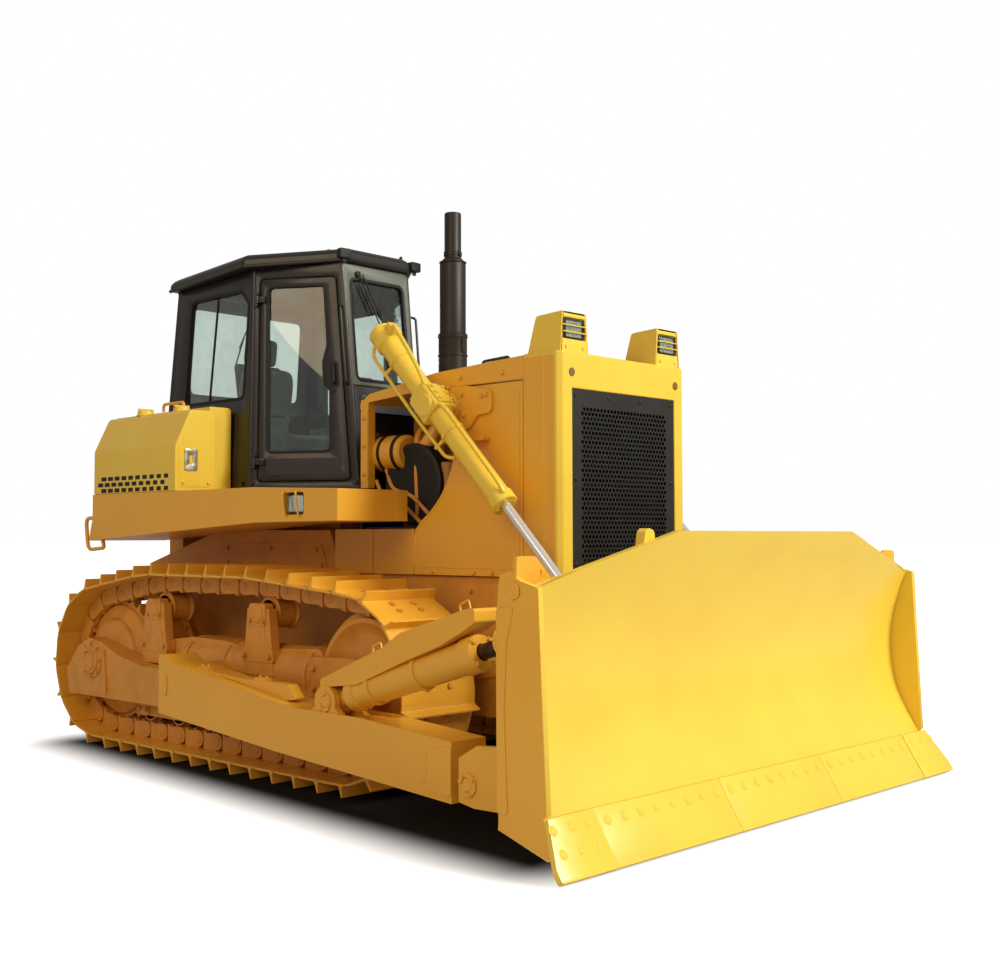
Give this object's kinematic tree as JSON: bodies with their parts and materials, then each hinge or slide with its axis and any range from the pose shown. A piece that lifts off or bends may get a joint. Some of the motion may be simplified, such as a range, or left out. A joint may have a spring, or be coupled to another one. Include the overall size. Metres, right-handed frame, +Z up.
{
  "type": "crawler bulldozer",
  "caption": "Crawler bulldozer with a straight tilting blade on side push arms, a glazed cab, steel tracks and a perforated radiator grille.",
  "frame": {"origin": "bottom centre of the bounding box, on the ground under the tracks", "axes": "+Z up, -Y towards the blade at the front, +X to the left side of the machine"},
  "size_m": [3.725, 5.5348, 3.64],
  "materials": {
    "body_paint": "gloss construction yellow over rolled and cast steel",
    "track_paint": "yellow paint over forged links and rolled shoes",
    "edge_paint": "yellow paint over hardened edge steel",
    "engine_paint": "matt engine enamel",
    "grille_paint": "black powder coat on perforated sheet",
    "exhaust_metal": "heat-proof matt black",
    "cab_paint": "satin black enamel",
    "cab_trim": "grained moulded trim and rubber mat",
    "seat_cover": "woven grey seat cloth",
    "cab_glass": "clear safety glass with a faint grey-green tint",
    "rod_chrome": "ground hard chrome"
  },
  "bodies": {
    "chassis": {"main_frame": "body_paint", "engine_block": "engine_paint", "radiator_guard": "body_paint", "radiator_grille": "grille_paint", "hood_top": "body_paint", "hood_side_left": "body_paint", "hood_side_right": "body_paint", "exhaust_stack": "exhaust_metal", "platform_deck": "body_paint", "side_tank_left": "body_paint", "side_tank_right": "body_paint", "rear_tank": "body_paint", "cab_frame": "cab_paint", "cab_roof": "cab_paint", "cab_floor": "cab_trim", "operator_seat": "seat_cover", "windshield": "cab_glass", "rear_glass": "cab_glass", "side_glass_left": "cab_glass", "side_glass_right": "cab_glass", "track_frame_left": "body_paint", "track_frame_right": "body_paint", "sprocket_left": "body_paint", "sprocket_right": "body_paint", "idler_left": "body_paint", "idler_right": "body_paint", "track_left": "track_paint", "track_right": "track_paint"},
    "left_arm": {"push_arm_left": "body_paint"},
    "right_arm": {"push_arm_right": "body_paint"},
    "blade": {"moldboard": "body_paint", "cutting_edge": "edge_paint"},
    "tilt_cylinder": {"tilt_barrel": "body_paint"},
    "tilt_piston": {"tilt_rod": "rod_chrome"},
    "brace": {"blade_brace": "body_paint"},
    "lift_cylinder_left": {"lift_barrel_left": "body_paint"},
    "lift_piston_left": {"lift_rod_left": "rod_chrome"},
    "lift_cylinder_right": {"lift_barrel_right": "body_paint"},
    "lift_piston_right": {"lift_rod_right": "rod_chrome"},
    "door_left": {"cab_door_left": "cab_paint", "door_glass_left": "cab_glass"},
    "door_right": {"cab_door_right": "cab_paint", "door_glass_right": "cab_glass"}
  },
  "joints": [
    {"name": "blade_lift", "type": "hinge", "parent": "chassis", "child": "left_arm", "pos_m": [1.43, 0.72865, 0.57], "axis": [-1, 0, 0], "range_deg": [-9, 19.7]},
    {"name": "blade_tilt", "type": "hinge", "parent": "left_arm", "child": "blade", "pos_m": [1.43, -1.88835, 0.279], "axis": [0, 0.9939, 0.1105], "range_deg": [-5.5, 5.5]},
    {"name": "right_arm_swing", "type": "hinge", "parent": "left_arm", "child": "right_arm", "pos_m": [-1.43, 0.72865, 0.57], "axis": [1, 0, 0], "range_deg": [-6.47, 6.47]},
    {"name": "tilt_barrel_swing", "type": "hinge", "parent": "right_arm", "child": "tilt_cylinder", "pos_m": [-1.43, -0.77135, 0.582], "axis": [0.5356, 0.2388, 0.81], "range_deg": [-3.84, 3.84]},
    {"name": "tilt_rod_slide", "type": "slide", "parent": "tilt_cylinder", "child": "tilt_piston", "axis": [0, -0.9592, 0.2828], "range_m": [-0.0682, 0.0682]},
    {"name": "brace_swing", "type": "hinge", "parent": "left_arm", "child": "brace", "pos_m": [1.43, -0.77135, 0.582], "axis": [0, 0.2828, 0.9592], "range_deg": [-3.32, 3.32]},
    {"name": "lift_barrel_swing_left", "type": "hinge", "parent": "chassis", "child": "lift_cylinder_left", "pos_m": [0.75, -0.81135, 2.247], "axis": [-1, 0, 0], "range_deg": [-10.58, 22.57]},
    {"name": "lift_rod_slide_left", "type": "slide", "parent": "lift_cylinder_left", "child": "lift_piston_left", "axis": [0, -0.6984, -0.7157], "range_m": [-0.7807, 0.3594]},
    {"name": "cab_door_left", "type": "hinge", "parent": "chassis", "child": "door_left", "pos_m": [0.69086, 1.06872, 2], "axis": [-0.0348, 0.0292, 0.999], "range_deg": [0, 110]},
    {"name": "lift_barrel_swing_right", "type": "hinge", "parent": "chassis", "child": "lift_cylinder_right", "pos_m": [-0.75, -0.81135, 2.247], "axis": [-1, 0, 0], "range_deg": [-10.58, 22.57]},
    {"name": "lift_rod_slide_right", "type": "slide", "parent": "lift_cylinder_right", "child": "lift_piston_right", "axis": [0, -0.6984, -0.7157], "range_m": [-0.7807, 0.3594]},
    {"name": "cab_door_right", "type": "hinge", "parent": "chassis", "child": "door_right", "pos_m": [-0.69086, 1.06872, 2], "axis": [-0.0348, -0.0292, -0.999], "range_deg": [0, 110]}
  ],
  "couplings": [
    {"joint": "right_arm_swing", "follows": "blade_tilt", "ratio": -1.0862},
    {"joint": "tilt_barrel_swing", "follows": "blade_tilt", "ratio": 0.60784},
    {"joint": "tilt_rod_slide", "follows": "blade_tilt", "m_per_rad": 0.65875},
    {"joint": "brace_swing", "follows": "blade_tilt", "ratio": 0.51331},
    {"joint": "lift_barrel_swing_left", "follows": "blade_lift", "ratio": 1.1203},
    {"joint": "lift_rod_slide_left", "follows": "blade_lift", "m_per_rad": -2.2561},
    {"joint": "lift_barrel_swing_right", "follows": "blade_lift", "ratio": 1.1203},
    {"joint": "lift_rod_slide_right", "follows": "blade_lift", "m_per_rad": -2.2561}
  ]
}
